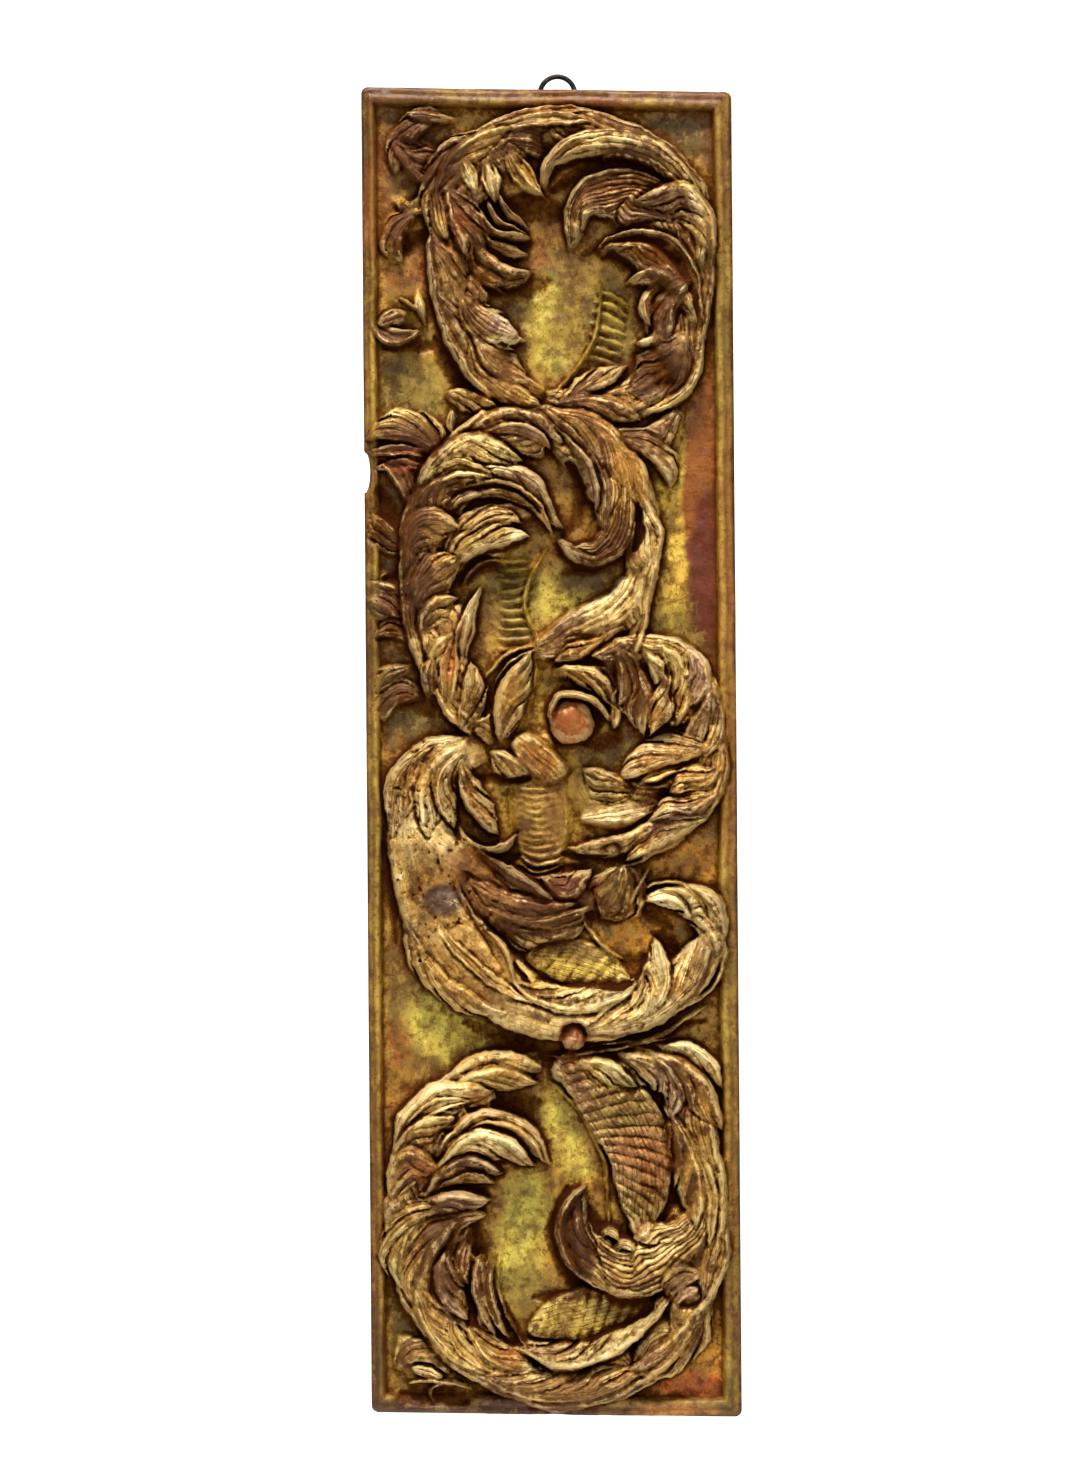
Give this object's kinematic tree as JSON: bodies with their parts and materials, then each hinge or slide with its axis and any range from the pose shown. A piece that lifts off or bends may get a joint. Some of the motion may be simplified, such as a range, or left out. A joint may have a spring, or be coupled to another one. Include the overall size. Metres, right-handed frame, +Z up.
{
  "type": "carved frieze panel",
  "caption": "Tall gilded wooden frieze panel carved with rising acanthus scrolls inside a moulded border, with an iron hanging ring let into the back.",
  "frame": {"origin": "middle of the flat back face, halfway along the panel's width and height", "axes": "+Z runs up the panel towards the hanging ring, +X to the right of somebody facing the carving, +Y out of the back towards the wall; the carved side faces -Y"},
  "size_m": [0.264, 0.051, 0.9616],
  "materials": {
    "gilded_wood": "worn gilding over red-orange bole, umber patina in the hollows, bare brown wood on the edges and back",
    "dark_iron": "blackened forged iron with a little brown rust"
  },
  "bodies": {
    "root": {"carved_panel": "gilded_wood", "hanging_ring": "dark_iron", "tang_nail_1": "dark_iron", "tang_nail_2": "dark_iron"}
  },
  "joints": []
}
